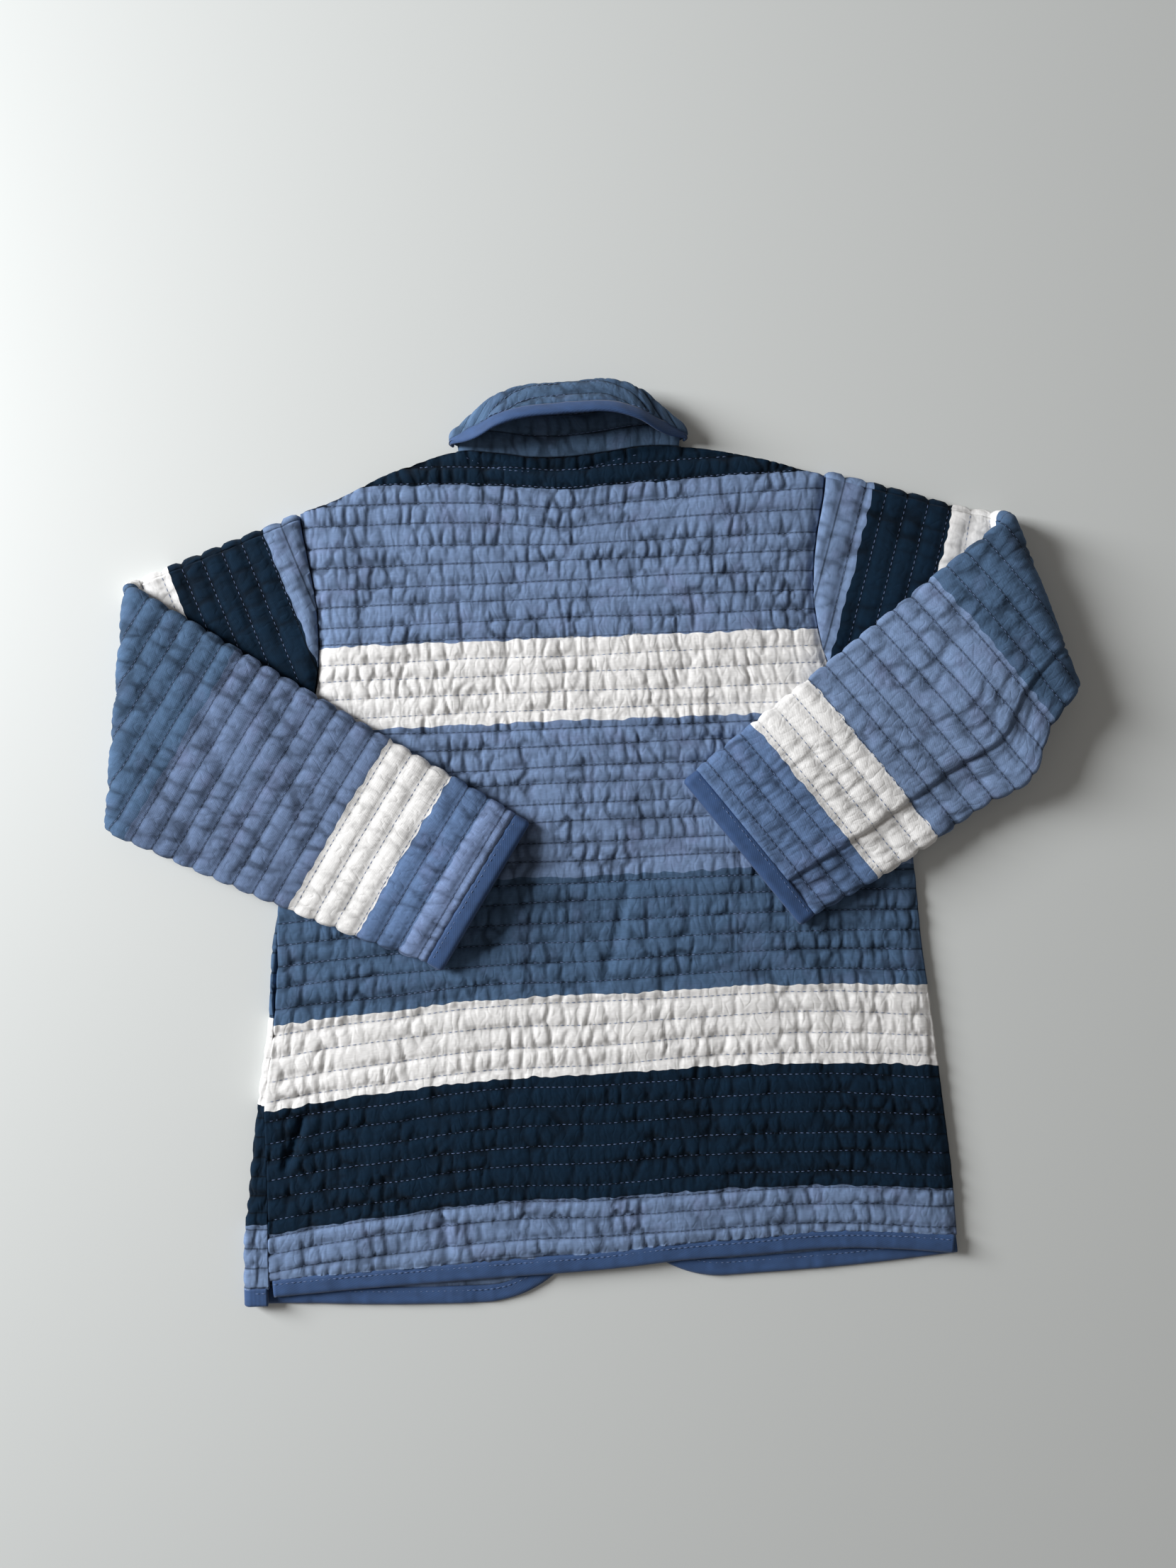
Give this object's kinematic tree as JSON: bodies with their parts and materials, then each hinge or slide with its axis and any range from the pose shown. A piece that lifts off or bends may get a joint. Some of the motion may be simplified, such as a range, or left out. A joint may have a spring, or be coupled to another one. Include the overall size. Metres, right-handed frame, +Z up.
{
  "type": "quilted jacket",
  "caption": "Child's quilted patchwork jacket lying flat with its back up, stand collar turned over, both sleeves folded across the back, bound edges.",
  "frame": {"origin": "middle of the part's footprint, on the surface the jacket lies on", "axes": "+X to the right across the jacket as it lies back side up, +Y from the hem to the collar, +Z up"},
  "size_m": [0.5026, 0.477, 0.032],
  "materials": {
    "quilted_back": "washed quilted cotton in patchwork bands",
    "quilted_front": "washed quilted cotton in patchwork bands",
    "quilted_sleeve": "washed quilted cotton in patchwork bands",
    "quilted_collar": "washed quilted cotton, steel blue",
    "binding": "cotton twill"
  },
  "bodies": {
    "root": {"back": "quilted_back", "front_left": "quilted_front", "front_right": "quilted_front", "sleeve_left": "quilted_sleeve", "sleeve_right": "quilted_sleeve", "collar": "quilted_collar", "binding_collar": "binding", "binding_hem_back": "binding", "binding_front_left": "binding", "binding_front_right": "binding", "binding_cuff_left": "binding", "binding_cuff_right": "binding"}
  },
  "joints": []
}
